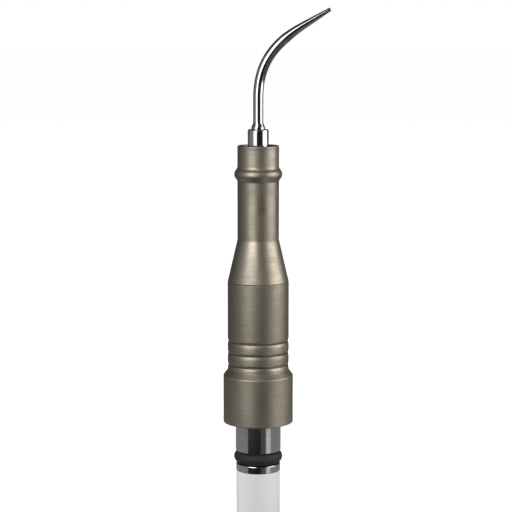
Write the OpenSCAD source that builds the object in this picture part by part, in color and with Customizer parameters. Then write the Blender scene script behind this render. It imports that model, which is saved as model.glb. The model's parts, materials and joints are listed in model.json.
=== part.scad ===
// Ultrasonic scaler handpiece, piezo type, with a screw-on tip and a plug-in rear end.
// Millimetres. +Z runs along the handpiece towards the tip, and the origin is the centre of
// the flat rear end face. Pieces are turned about the Z axis unless their comment says
// otherwise. The tip bends towards +X. Threads are plain cylinders at their major diameter.

/* [Casing] */
// Diameter of the rear flange, the widest part of the casing
flange_d = 16; // [15.8:0.1:17]
// Diameter of the grip
grip_d = 14; // [13.8:0.1:14.4]
// Diameter of the slim neck
neck_d = 9.45; // [9.4:0.05:10.2]
// Diameter over the bead near the nose
bead_d = 10.9; // [10.6:0.1:11.8]
// Height of the rear flange
flange_h = 11; // [10.5:0.1:12]
// Height of the bevel between flange and grip
bevel_h = 1.3; // [1:0.1:1.5]
// Height of the plain grip, grooves included
grip_h = 20.3; // [20:0.1:22]
// Height of the cone between grip and neck
cone_h = 9.7; // [9:0.1:11]
// Height of the neck
neck_h = 21.4; // [21:0.1:24]
// Distance from the nose rim down to the middle of the bead
bead_drop = 6.5; // [5:0.1:9]
// Diameter of the opening in the nose
nose_bore_d = 8.5; // [8.3:0.1:8.6]

/* [Grip grooves] */
// Number of grooves round the grip
groove_count = 3; // [1:1:4]
// Distance from one groove to the next
groove_pitch = 2.7; // [2.4:0.05:2.8]
// Distance from the top of the bevel to the first groove
groove_start = 1.4; // [1.4:0.05:1.8]
// Half of the height of a groove at its mouth
groove_half_h = 0.45; // [0.3:0.05:0.5]
// Radius of the round shoulders that meet in a groove
groove_shoulder_r = 0.5; // [0.5:0.05:1]

/* [Rear plug] */
// Diameter of the polished spigot behind the flange
spigot_d = 10.4; // [10.2:0.1:10.8]
// Length of the spigot that shows between flange and seal groove
spigot_h = 6.65; // [6:0.05:8]
// Diameter of the end land behind the seal groove
land_d = 10.15; // [9.9:0.05:10.2]
// Height of the end land
land_h = 1.8; // [1.7:0.05:2.5]
// Height of the seal groove
seal_groove_h = 2.95; // [2.9:0.05:3.3]
// Diameter over the outer seal ring
seal_d = 11.15; // [10.9:0.05:11.6]
// Diameter of the pale insulator behind the plug
insulator_d = 10.1; // [9.8:0.1:10.2]
// Height of the insulator that shows
insulator_h = 12.5; // [11.5:0.1:14]
// Diameter of the water port in the end face
water_port_d = 2; // [1.9:0.1:2.1]
// Bore of each contact socket
socket_bore_d = 1; // [0.8:0.1:1.1]
// Distance between the two contact sockets
socket_spacing = 5; // [4.9:0.05:5.1]

/* [Tip] */
// Diameter of the tip's wire
wire_d = 2.3; // [2:0.05:2.6]
// Diameter of the blunt working end
tip_end_d = 0.85; // [0.6:0.05:1]
// Length over which the wire tapers to its working end
taper_h = 12.1; // [9:0.1:14]
// Diameter of the tip's base collar
collar_d = 4.75; // [4.7:0.05:5]
// Distance across the four wrench flats of the collar
collar_flats = 4.6; // [4.4:0.05:4.65]
// How far the collar stands out of the nose
collar_out = 3.8; // [3:0.1:5]
// Angle of the working end from the handpiece's axis
tip_lean = 59; // [50:1:62]
// Outside diameter of the thread that holds the tip
stud_d = 3; // [2.8:0.1:3]

/* [Transducer] */
// Thickness of a piezo ring
piezo_h = 2; // [1.8:0.1:2]
// Diameter of the piezo rings
piezo_d = 8.6; // [8.2:0.1:8.6]
// Thickness of an electrode
electrode_h = 0.2; // [0.1:0.05:0.2]

/* [Hidden] */
$fn = 96;
cut = 0.01;

// Radial clearance of a thread, and of a part pressed or glued into its seat
thread_gap = 0.05;
seat_gap = 0.02;
// Radial play of a seal ring's outside, and of the bores that parts are glued or pressed into
seal_gap = 0.03;
// Free space left along the axis round the vibrating transducer
stroke_gap = 0.12;
// Height of the groove of each static seal ring in the casing
static_groove_h = 1;

// Levels of the visible outside, from the end face upwards
land_z = insulator_h;
seal_z = land_z + land_h;
spigot_z = seal_z + seal_groove_h;
flange_z = spigot_z + spigot_h;
bevel_z = flange_z + flange_h;
grip_z = bevel_z + bevel_h;
cone_z = grip_z + grip_h;
neck_z = cone_z + cone_h;
rim_z = neck_z + neck_h;

// Casing
edge_r = 0.3;
mouth_chamfer = 0.1;
bead_arc_r = 1.7;
bead_fillet_r = 0.8;
nose_thread_r = 6;
nose_thread_z = cone_z - 4;
nose_groove_depth = 0.6;
nose_inlet_r = 4.6;
nose_bore_z = cone_z + 5.3;
nose_seal_z = cone_z - 0.8;
casing_seal_r = 0.45;
chamber_r = 5.4;
ledge_bore_r = 4.75;
ledge_lip_h = 1.2;
ledge_slot_w = 1.6;
flange_seat_r = 5.6;
rear_thread_r = 6.5;
rear_thread_top = flange_z + 6;

// Rear plug
plug_head_z = flange_z + 0.6;
plug_head_top = rear_thread_top - 0.4;
plug_groove_depth = 0.9;
plug_groove_z = plug_head_top - 0.6;
plug_bore_r = 3.6;
plug_inner_r = 4.4;
plug_cavity_r = 5;
plug_funnel_z = plug_head_z + 0.4;
plug_cavity_z = plug_head_z + 1;
spigot_step = 0.08;
spigot_step_z = flange_z - 0.7;
seal_floor_r = land_d / 2 - 0.8;
seal_edge = 0.25;
spanner_hole_x = 5.85;
spanner_hole_r = 0.4;
spanner_hole_h = 1.2;
nut_z = spigot_z + 0.9;
nut_h = 1.5;
nut_slot_w = 0.8;
nut_slot_depth = 0.5;
insulator_top = nut_z + nut_h + 0.4;
insulator_edge = 0.3;
keyway_w = 1.4;
keyway_depth = 0.6;
keyway_h = 5;
key_r = 0.38;
key_y = 4.35;
key_half_h = 1.4;
socket_r = 0.75;
socket_z = 0.3;
socket_top = insulator_top + 2;
socket_depth = 6;
cup_r = 0.5;
cup_h = 1.6;
port_h = 5.2;
port_pocket_w = 0.5;
port_pocket_h = 1;
port_seal_r = 0.34;
nozzle_r = 0.9;
nozzle_z = port_h + port_pocket_h + 0.1;
nozzle_top = insulator_top + 3.4;
nozzle_barb_h = 1.1;
hose_r = 1.6;
hose_bore_r = 1.12;
hose_z = insulator_top + 0.8;

// Transducer levels, downwards from the seat of the tip and from the nose thread
water_r = 0.5;
horn_seat_z = rim_z - 4.5;
stud_h = 4;
stud_in = 3.9;
damper_r = 0.55;
damper_centre_r = 5;
clamp_r = 5.3;
clamp_top = nose_thread_z - 2 * damper_r - 2 * stroke_gap;
clamp_z = clamp_top - 1.4;
ledge_z = clamp_z - 2 * damper_r - 2 * stroke_gap;
piezo_count = 4;
piezo_bore_r = 2.35;
stack_top = clamp_z - 3;
stack_h = piezo_count * piezo_h + (piezo_count + 1) * electrode_h;
stack_z = stack_top - stack_h;
back_mass_z = stack_z - 6.4;
bolt_r = 1.95;
bolt_head_z = back_mass_z - 2.4;
nipple_z = bolt_head_z - 2.6;
bolt_top = stack_top + 5.5;
bolt_head_d = 7;
bolt_well_z = stack_top + 6;
horn_root_r = 3.7;
horn_front_r = 2.6;
horn_taper_z = neck_z + 1;
horn_front_z = neck_z + 5;
horn_flat_r = 3.35;
horn_flat_h = 4;
horn_seal_z = neck_z - 0.4;
horn_seal_r = 0.42;
horn_groove_depth = 0.5;
horn_groove_h = 0.9;
sleeve_wall = 0.2;
sleeve_lap = 1;

// Leads
tab_root = 3;
tab_reach = 4.75;
tab_w = 1.2;
tab_slot_w = 1.6;
wire_r = 0.3;
wire_x = 4.95;
wire_lap = 0.35;

// Tip: a straight start, one Bezier bend and a straight tapered end
collar_top = rim_z + collar_out;
collar_edge = 0.35;
cone_top = collar_top + 1.3;
cone_foot_r = 1.55;
tip_foot_z = horn_seat_z + 0.05;
tip_seal_r = 0.2;
tip_pocket_w = 0.45;
tip_pocket_top = horn_seat_z + 0.75;
tip_thread_top = horn_seat_z + stud_h + 0.6;
bend_z = rim_z + 10.5;
channel_r = 0.4;
channel_top = bend_z - 2.2;
outlet_r = 0.3;
outlet_lean = 45;
blade_h = 7;
tip_way = [sin(tip_lean), cos(tip_lean)];
bend_end = [10.22, rim_z + 26.95];
bend_handles = [7, 9];
bend_points = [[0, bend_z], [0, bend_z + bend_handles[0]],
    bend_end - bend_handles[1] * tip_way, bend_end];

// ---- shared shapes ----

// A solid turned about Z from [radius, height] points.
module turned(points) {
    rotate_extrude() polygon(points);
}

// A plain tube from its outer radius, inner radius, foot and top.
module tube(outer, inner, foot, top) {
    turned([[inner, foot], [outer, foot], [outer, top], [inner, top]]);
}

// A round seal ring about Z, from its section's centre and radius.
module seal_ring(centre_r, centre_z, section_r) {
    translate([0, 0, centre_z]) rotate_extrude() translate([centre_r, 0]) circle(r = section_r);
}

// The same ring stretched over a shaft or a groove floor, which flattens its inside.
module seated_ring(centre_r, centre_z, section_r, shaft_r) {
    difference() {
        seal_ring(centre_r, centre_z, section_r);
        translate([0, 0, centre_z - 2 * section_r]) cylinder(r = shaft_r, h = 4 * section_r);
    }
}

// Points of an arc about a centre from angle a to b, for turned profiles.
function arc(centre, r, a, b, steps = 6) =
    [for (i = [0 : steps]) let (t = a + (b - a) * i / steps) centre + r * [cos(t), sin(t)]];

// A point on a cubic Bezier curve, and the curve's direction there.
function bezier(p, t) =
    pow(1 - t, 3) * p[0] + 3 * t * pow(1 - t, 2) * p[1] + 3 * t * t * (1 - t) * p[2] + pow(t, 3) * p[3];
function bezier_way(p, t) =
    let (d = pow(1 - t, 2) * (p[1] - p[0]) + 2 * t * (1 - t) * (p[2] - p[1]) + t * t * (p[3] - p[2]))
    d / norm(d);

// A round rod along a path in the XZ plane. Each stop is [point, direction, radius].
module swept(stops, sides) {
    last = len(stops) - 1;
    points = [for (s = stops, k = [0 : sides - 1])
        let (a = 360 * k / sides, out = s[2] * cos(a))
        [s[0][0] + out * s[1][1], s[2] * sin(a), s[0][1] - out * s[1][0]]];
    skin = [for (j = [0 : last - 1], k = [0 : sides - 1]) let (n = (k + 1) % sides)
        [j * sides + k, (j + 1) * sides + k, (j + 1) * sides + n, j * sides + n]];
    ends = [[for (k = [0 : sides - 1]) k], [for (k = [sides - 1 : -1 : 0]) last * sides + k]];
    polyhedron(points, concat(skin, ends));
}

// ---- casing ----

// Front casing: rim, bead, neck and cone, with the thread that clamps the transducer.
module nose_sleeve() {
    neck_r = neck_d / 2;
    thread_r = nose_thread_r - thread_gap;
    groove_r = thread_r - nose_groove_depth;
    groove_foot = nose_seal_z - static_groove_h / 2;
    groove_top = nose_seal_z + static_groove_h / 2;
    bore_r = nose_bore_d / 2;
    bead_z = rim_z - bead_drop;
    bead_centre = bead_d / 2 - bead_arc_r;
    fillet_x = neck_r + bead_fillet_r;
    reach = bead_arc_r + bead_fillet_r;
    swing = acos((fillet_x - bead_centre) / reach);
    fillet_dz = reach * sin(swing);
    color([0.46, 0.43, 0.37]) turned(concat(
        [[nose_inlet_r, nose_thread_z], [thread_r, nose_thread_z], [thread_r, groove_foot],
         [groove_r, groove_foot], [groove_r, groove_top], [thread_r, groove_top],
         [thread_r, cone_z], [grip_d / 2, cone_z], [neck_r, neck_z]],
        arc([fillet_x, bead_z - fillet_dz], bead_fillet_r, 180, 180 - swing),
        arc([bead_centre, bead_z], bead_arc_r, -swing, swing, 10),
        arc([fillet_x, bead_z + fillet_dz], bead_fillet_r, 180 + swing, 180),
        arc([neck_r - edge_r, rim_z - edge_r], edge_r, 0, 90),
        [[bore_r + mouth_chamfer, rim_z], [bore_r, rim_z - mouth_chamfer],
         [bore_r, nose_bore_z], [nose_inlet_r, cone_z]]));
}

module nose_seal() {
    floor_r = nose_thread_r - thread_gap - nose_groove_depth + seat_gap;
    centre_r = nose_thread_r - seal_gap - casing_seal_r;
    color([0.08, 0.08, 0.08]) seated_ring(centre_r, nose_seal_z, casing_seal_r, floor_r);
}

// Radius of the grip at a distance from the middle of a groove, up to its mouth.
function groove_radius(d) =
    grip_d / 2 - groove_shoulder_r + sqrt(pow(groove_shoulder_r, 2) - pow(groove_half_h - abs(d), 2));

// Rear casing: grip with grooves, bevel and flange. Its inner ledge carries the rear damper.
module grip_sleeve() {
    grip_r = grip_d / 2;
    flange_r = flange_d / 2;
    lip_z = ledge_z - ledge_lip_h;
    slot_reach = chamber_r - thread_gap;
    steps = 5;
    grooves = [for (i = [0 : groove_count - 1], k = [-steps : steps])
        let (d = k / steps * groove_half_h)
        [groove_radius(d), grip_z + groove_start + i * groove_pitch + d]];
    color([0.46, 0.43, 0.37]) difference() {
        turned(concat(
            [[rear_thread_r, flange_z]],
            arc([flange_r - edge_r, flange_z + edge_r], edge_r, -90, 0),
            [[flange_r, bevel_z], [grip_r, grip_z]],
            grooves,
            [[grip_r, cone_z], [nose_thread_r, cone_z], [nose_thread_r, nose_thread_z],
             [flange_seat_r, nose_thread_z], [flange_seat_r, ledge_z], [ledge_bore_r, ledge_z],
             [ledge_bore_r, lip_z], [chamber_r, lip_z], [chamber_r, rear_thread_top],
             [rear_thread_r, rear_thread_top]]));
        // two slots in the ledge that the wires pass through at assembly
        translate([-slot_reach, -ledge_slot_w / 2, lip_z - cut])
            cube([2 * slot_reach, ledge_slot_w, ledge_lip_h + 2 * cut]);
    }
}

module casing_seal() {
    floor_r = rear_thread_r - plug_groove_depth + seat_gap;
    centre_r = rear_thread_r - seal_gap - casing_seal_r;
    color([0.08, 0.08, 0.08]) seated_ring(centre_r, plug_groove_z, casing_seal_r, floor_r);
}

// ---- rear plug ----

// Spigot, seal groove and end land in one, screwed into the casing by its head.
module plug_body() {
    thread_r = rear_thread_r - thread_gap;
    groove_r = rear_thread_r - plug_groove_depth;
    groove_foot = plug_groove_z - static_groove_h / 2;
    groove_top = plug_groove_z + static_groove_h / 2;
    spigot_r = spigot_d / 2;
    land_r = land_d / 2;
    land_edge = 0.15;
    spigot_edge = 0.2;
    color([0.72, 0.72, 0.74]) difference() {
        turned([
            [plug_bore_r, land_z], [land_r - land_edge, land_z], [land_r, land_z + land_edge],
            [land_r, seal_z - seal_edge], [land_r - seal_edge, seal_z], [seal_floor_r, seal_z],
            [seal_floor_r, spigot_z], [spigot_r - spigot_edge, spigot_z],
            [spigot_r, spigot_z + spigot_edge], [spigot_r, spigot_step_z],
            [spigot_r + spigot_step, spigot_step_z + spigot_step],
            [spigot_r + spigot_step, plug_head_z], [thread_r, plug_head_z],
            [thread_r, groove_foot], [groove_r, groove_foot],
            [groove_r, groove_top], [thread_r, groove_top],
            [thread_r, plug_head_top], [plug_cavity_r, plug_head_top],
            [plug_cavity_r, plug_cavity_z], [plug_inner_r, plug_funnel_z],
            [plug_inner_r, nut_z], [plug_bore_r, nut_z]]);
        // two spanner holes in the head's rear face
        for (side = [-1, 1])
            translate([side * spanner_hole_x, 0, plug_head_z - 1])
                cylinder(r = spanner_hole_r, h = spanner_hole_h + 1);
        translate([0, key_y, land_z - cut]) cylinder(r = key_r + seat_gap, h = key_half_h + cut);
    }
}

module plug_seal() {
    section_r = seal_groove_h / 2 - thread_gap;
    centre_r = seal_d / 2 - section_r;
    color([0.06, 0.06, 0.06])
        seated_ring(centre_r, seal_z + seal_groove_h / 2, section_r, seal_floor_r + seat_gap);
}

// Insulating body with the water port in its middle and a contact socket each side.
module connector_insulator() {
    neck_r = plug_bore_r - seal_gap;
    outer_r = insulator_d / 2;
    port_r = water_port_d / 2;
    pocket_r = port_r + port_pocket_w;
    pocket_top = port_h + port_pocket_h;
    color([0.86, 0.86, 0.85]) difference() {
        turned([
            [port_r, 0], [outer_r - insulator_edge, 0], [outer_r, insulator_edge],
            [outer_r, land_z], [neck_r, land_z], [neck_r, insulator_top],
            [nozzle_r, insulator_top], [nozzle_r, pocket_top], [pocket_r, pocket_top],
            [pocket_r, port_h], [port_r, port_h]]);
        for (side = [-1, 1])
            translate([side * socket_spacing / 2, 0, -1]) cylinder(r = socket_r, h = insulator_top + 2);
        translate([0, key_y, land_z - key_half_h]) cylinder(r = key_r + seat_gap, h = 2 * key_half_h);
        // keyway that lets the plug go in one way round only
        translate([-keyway_w / 2, outer_r - keyway_depth, -1]) cube([keyway_w, 2, keyway_h + 1]);
    }
}

// Ring nut on the insulator's neck, with two slots for a spanner.
module insulator_nut() {
    color([0.78, 0.7, 0.42]) difference() {
        tube(plug_inner_r - 0.1, plug_bore_r, nut_z, nut_z + nut_h);
        translate([-plug_inner_r, -nut_slot_w / 2, nut_z + nut_h - nut_slot_depth])
            cube([2 * plug_inner_r, nut_slot_w, 1]);
    }
}

module insulator_key() {
    color([0.75, 0.75, 0.76])
        translate([0, key_y, land_z - key_half_h + thread_gap])
            cylinder(r = key_r, h = 2 * (key_half_h - thread_gap));
}

// Gold-plated socket beside the axis, with a solder cup at its inner end.
module contact_socket(side) {
    color([0.85, 0.66, 0.25]) translate([side * socket_spacing / 2, 0, 0]) difference() {
        translate([0, 0, socket_z]) cylinder(r = socket_r - seat_gap, h = socket_top - socket_z);
        cylinder(r = socket_bore_d / 2, h = socket_z + socket_depth);
        translate([0, 0, socket_top - cup_h]) cylinder(r = cup_r, h = cup_h + 1);
    }
}

module live_socket() {
    contact_socket(1);
}

module return_socket() {
    contact_socket(-1);
}

module water_nozzle() {
    outer = nozzle_r - seat_gap;
    color([0.7, 0.7, 0.72]) turned([
        [water_r, nozzle_z], [outer, nozzle_z], [outer, nozzle_top - nozzle_barb_h],
        [hose_bore_r - seat_gap, nozzle_top - nozzle_barb_h], [outer, nozzle_top],
        [water_r, nozzle_top]]);
}

module water_port_seal() {
    centre_r = (water_port_d + port_pocket_w) / 2 - 0.11;
    color([0.1, 0.1, 0.1]) seal_ring(centre_r, port_h + port_pocket_h / 2, port_seal_r);
}

module water_hose() {
    color([0.75, 0.8, 0.85, 0.7])
        tube(hose_r, hose_bore_r, hose_z, bolt_head_z - stroke_gap - thread_gap);
}

// ---- transducer ----

// Titanium front mass: clamped at its flange, slimmer towards the tip.
module horn() {
    rear_r = piezo_d / 2;
    bolt_bore_r = bolt_r + seat_gap;
    groove_r = horn_root_r - horn_groove_depth;
    groove_foot = horn_seal_z - horn_groove_h / 2;
    groove_top = horn_seal_z + horn_groove_h / 2;
    stud_bore_r = stud_d / 2 - seal_gap;
    stud_well_z = horn_seat_z - stud_in - 0.1;
    color([0.56, 0.56, 0.58]) difference() {
        turned([
            [bolt_bore_r, stack_top], [rear_r, stack_top], [rear_r, clamp_z - 0.6],
            [rear_r - 0.4, clamp_z], [clamp_r, clamp_z], [clamp_r, clamp_top],
            [horn_root_r + 0.5, clamp_top], [horn_root_r, clamp_top + 0.5],
            [horn_root_r, groove_foot], [groove_r, groove_foot],
            [groove_r, groove_top], [horn_root_r, groove_top],
            [horn_root_r, horn_taper_z], [horn_front_r, horn_front_z],
            [horn_front_r, horn_seat_z - 0.2], [horn_front_r - 0.2, horn_seat_z],
            [stud_bore_r, horn_seat_z], [stud_bore_r, stud_well_z], [water_r, stud_well_z],
            [water_r, bolt_well_z], [bolt_bore_r, bolt_well_z]]);
        // two spanner flats on the root
        for (turn = [0, 180]) rotate([0, 0, turn])
            translate([horn_flat_r, -horn_root_r, clamp_top + 1.5])
                cube([1, 2 * horn_root_r, horn_flat_h]);
    }
}

module horn_seal() {
    floor_r = horn_root_r - horn_groove_depth + seat_gap;
    color([0.08, 0.08, 0.08]) seated_ring(horn_root_r - 0.1, horn_seal_z, horn_seal_r, floor_r);
}

// Threaded stud with a water bore. It stays in the horn when the tip comes off.
module tip_stud() {
    outer = stud_d / 2 - thread_gap;
    bore_r = water_r - thread_gap;
    foot = horn_seat_z - stud_in;
    top = horn_seat_z + stud_h;
    color([0.66, 0.66, 0.68]) turned([
        [bore_r, foot], [outer, foot], [outer, top - 0.3], [outer - 0.3, top], [bore_r, top]]);
}

// Piezo rings count upwards from the back mass.
module piezo_ring(i) {
    foot = stack_z + electrode_h + i * (piezo_h + electrode_h);
    color([0.52, 0.47, 0.4]) tube(piezo_d / 2, piezo_bore_r, foot, foot + piezo_h);
}

// Electrode under ring i, with a solder tab that stands out towards +X or -X.
module electrode(i, side) {
    foot = stack_z + i * (piezo_h + electrode_h);
    color([0.8, 0.5, 0.3]) difference() {
        union() {
            translate([0, 0, foot]) cylinder(r = piezo_d / 2, h = electrode_h);
            translate([side < 0 ? -tab_reach : tab_root, -tab_w / 2, foot])
                cube([tab_reach - tab_root, tab_w, electrode_h]);
        }
        translate([0, 0, foot - 1]) cylinder(r = piezo_bore_r, h = 2);
    }
}

module live_electrode() {
    for (i = [1 : 2 : piezo_count - 1]) electrode(i, 1);
}

module return_electrodes() {
    for (i = [0 : 2 : piezo_count]) electrode(i, -1);
}

// Insulating film tube round the stack, slotted for the solder tabs.
module stack_sleeve() {
    outer = piezo_d / 2 + sleeve_wall;
    foot = stack_z - sleeve_lap;
    color([0.72, 0.42, 0.1]) difference() {
        tube(outer, piezo_d / 2 + thread_gap, foot, stack_top + sleeve_lap);
        translate([-outer - 1, -tab_slot_w / 2, foot - 1])
            cube([2 * outer + 2, tab_slot_w, stack_h + 2.4]);
    }
}

module bolt_sleeve() {
    color([0.9, 0.9, 0.85])
        tube(piezo_bore_r - thread_gap, bolt_r + 0.08, stack_z + 0.05, stack_top - 0.05);
}

module back_mass() {
    outer = piezo_d / 2;
    inner = bolt_r + thread_gap;
    color([0.5, 0.5, 0.52]) turned([
        [inner, back_mass_z], [outer - 0.3, back_mass_z], [outer, back_mass_z + 0.3],
        [outer, stack_z], [inner, stack_z]]);
}

// Hollow bolt that clamps the stack, with a hexagon head and a nipple for the water hose.
module preload_bolt() {
    color([0.6, 0.6, 0.62]) difference() {
        union() {
            translate([0, 0, nipple_z]) cylinder(r = hose_bore_r - 0.07, h = bolt_head_z - nipple_z + 1);
            translate([0, 0, bolt_head_z])
                cylinder(d = bolt_head_d, h = back_mass_z - bolt_head_z, $fn = 6);
            translate([0, 0, bolt_head_z + 1]) cylinder(r = bolt_r, h = bolt_top - bolt_head_z - 1);
        }
        translate([0, 0, nipple_z - 1]) cylinder(r = water_r, h = bolt_top - nipple_z + 2);
    }
}

// Rubber rings on both sides of the horn's flange.
module rear_damper() {
    color([0.15, 0.15, 0.16]) seal_ring(damper_centre_r, ledge_z + damper_r, damper_r);
}

module front_damper() {
    color([0.15, 0.15, 0.16]) seal_ring(damper_centre_r, nose_thread_z - damper_r, damper_r);
}

// Stops of a lead from its top solder tab, down past the back mass, into its socket's cup.
function lead_stops(top) =
    let (down = [0, -1], run = [[wire_x, back_mass_z + 0.4], [wire_x, bolt_head_z - 0.8],
        [socket_spacing / 2, bolt_head_z - 2.2], [socket_spacing / 2, socket_top + 1.7]])
    concat(
        [[[wire_x, top], down, wire_r]],
        [for (i = [0 : 10]) [bezier(run, i / 10), bezier_way(run, i / 10), wire_r]],
        [[[socket_spacing / 2, socket_top - cup_h + wire_lap], down, wire_r]]);

module live_wire() {
    color([0.75, 0.1, 0.08]) swept(lead_stops(stack_top - piezo_h), 10);
}

module return_wire() {
    color([0.1, 0.1, 0.12]) mirror([1, 0, 0]) swept(lead_stops(stack_top + 0.2), 10);
}

// ---- tip ----

// Wire radius at a point on the tip, from how far it still is to the working end.
function tip_radius(p) =
    let (left = blade_h + (bend_end - p) * tip_way)
    (tip_end_d + (wire_d - tip_end_d) * min(1, max(0, left) / taper_h)) / 2;

tip_stops = concat(
    [for (i = [0 : 26]) let (p = bezier(bend_points, i / 26))
        [p, bezier_way(bend_points, i / 26), tip_radius(p)]],
    [for (i = [1 : 6]) let (p = bend_end + i / 6 * (blade_h - 0.1) * tip_way)
        [p, tip_way, tip_radius(p)]],
    [[bend_end + blade_h * tip_way, tip_way, tip_end_d / 2 - 0.12]]);

// Collar, cone and bent wire in one, with the thread and the water channel inside.
module scaler_tip() {
    foot = tip_foot_z;
    collar_r = collar_d / 2;
    thread_r = stud_d / 2;
    pocket_r = thread_r + tip_pocket_w;
    rod_r = wire_d / 2;
    color([0.78, 0.78, 0.8]) {
        difference() {
            turned([
                [pocket_r, foot], [collar_r - 0.25, foot], [collar_r, foot + 0.25],
                [collar_r, collar_top - collar_edge], [collar_r - 0.1, collar_top - 0.1],
                [collar_r - collar_edge, collar_top], [cone_foot_r, collar_top],
                [rod_r + 0.05, cone_top - 0.1], [rod_r, cone_top + 0.2], [rod_r, bend_z],
                [0, bend_z], [0, channel_top], [channel_r, channel_top],
                [channel_r, tip_thread_top], [thread_r, tip_thread_top],
                [thread_r, tip_pocket_top], [pocket_r, tip_pocket_top]]);
            for (turn = [45 : 90 : 315]) rotate([0, 0, turn])
                translate([collar_flats / 2, -3, foot - 1]) cube([2, 6, collar_top - foot + 2]);
            // water outlet on the inside of the bend
            translate([0, 0, channel_top - 0.5]) rotate([0, outlet_lean, 0])
                cylinder(r = outlet_r, h = 4);
        }
        swept(tip_stops, 20);
    }
}

module tip_seal() {
    centre_r = (stud_d + tip_seal_r) / 2 + 0.1;
    color([0.1, 0.1, 0.1]) seal_ring(centre_r, tip_foot_z + 0.27, tip_seal_r);
}

nose_sleeve();
nose_seal();
grip_sleeve();
casing_seal();
plug_body();
plug_seal();
connector_insulator();
insulator_nut();
insulator_key();
live_socket();
return_socket();
water_nozzle();
water_port_seal();
water_hose();
rear_damper();
front_damper();
horn();
horn_seal();
tip_stud();
piezo_ring(0);  // piezo_ring_1
piezo_ring(1);  // piezo_ring_2
piezo_ring(2);  // piezo_ring_3
piezo_ring(3);  // piezo_ring_4
live_electrode();
return_electrodes();
stack_sleeve();
bolt_sleeve();
back_mass();
preload_bolt();
live_wire();
return_wire();
tip_seal();
scaler_tip();
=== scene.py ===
import json
import logging
import math
from dataclasses import dataclass, field
from enum import Enum
from typing import Iterable, Optional

import bmesh
import bpy
from bmesh.types import BMEdge, BMesh, BMVert
from bpy.types import Material, Node, NodeSocket, NodeTree, Object
from mathutils import Matrix, Vector


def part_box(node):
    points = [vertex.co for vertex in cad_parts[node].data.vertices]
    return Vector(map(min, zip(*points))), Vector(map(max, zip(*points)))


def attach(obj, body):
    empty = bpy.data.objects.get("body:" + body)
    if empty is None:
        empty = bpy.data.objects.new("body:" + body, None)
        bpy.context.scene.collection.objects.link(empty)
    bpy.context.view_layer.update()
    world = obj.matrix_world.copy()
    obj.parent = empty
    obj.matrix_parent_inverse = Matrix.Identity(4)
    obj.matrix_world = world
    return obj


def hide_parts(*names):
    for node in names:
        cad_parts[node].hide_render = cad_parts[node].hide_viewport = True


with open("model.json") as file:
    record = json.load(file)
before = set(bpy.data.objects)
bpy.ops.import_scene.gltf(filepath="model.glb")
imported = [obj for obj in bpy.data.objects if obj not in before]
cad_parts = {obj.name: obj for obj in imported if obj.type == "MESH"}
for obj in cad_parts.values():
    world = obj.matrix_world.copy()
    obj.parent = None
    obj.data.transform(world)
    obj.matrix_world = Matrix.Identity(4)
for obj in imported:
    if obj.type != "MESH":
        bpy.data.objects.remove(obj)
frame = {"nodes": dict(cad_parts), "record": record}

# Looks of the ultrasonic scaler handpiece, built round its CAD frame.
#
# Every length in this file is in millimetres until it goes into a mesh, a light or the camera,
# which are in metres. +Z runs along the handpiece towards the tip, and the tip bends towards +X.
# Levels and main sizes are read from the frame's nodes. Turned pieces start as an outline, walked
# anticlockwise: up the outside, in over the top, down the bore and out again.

MM = 0.001
EDGE = "edge"
SHARP_ANGLE = math.radians(33)
ARC_STEP = math.radians(13)
ROUNDING_SHARE = 0.46
HOLD_SHARE = 0.25
MERGE_DISTANCE = 1e-7
WHITE = (1.0, 1.0, 1.0, 1.0)
Triple = tuple[float, float, float]
log = logging.getLogger("scaler")


# ---- measuring the frame ----


def foot_of(node: str) -> float:
    """Returns the lowest level of a CAD node, in millimetres."""
    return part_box(node)[0].z / MM


def top_of(node: str) -> float:
    """Returns the highest level of a CAD node, in millimetres."""
    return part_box(node)[1].z / MM


def radius_of(node: str) -> float:
    """Returns the largest radius of a turned CAD node, in millimetres, read across Y."""
    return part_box(node)[1].y / MM


def middle_y(node: str) -> float:
    """Returns the Y of a CAD node's middle, in millimetres."""
    low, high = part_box(node)
    return (low.y + high.y) / 2 / MM


# ---- turned outlines ----


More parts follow.
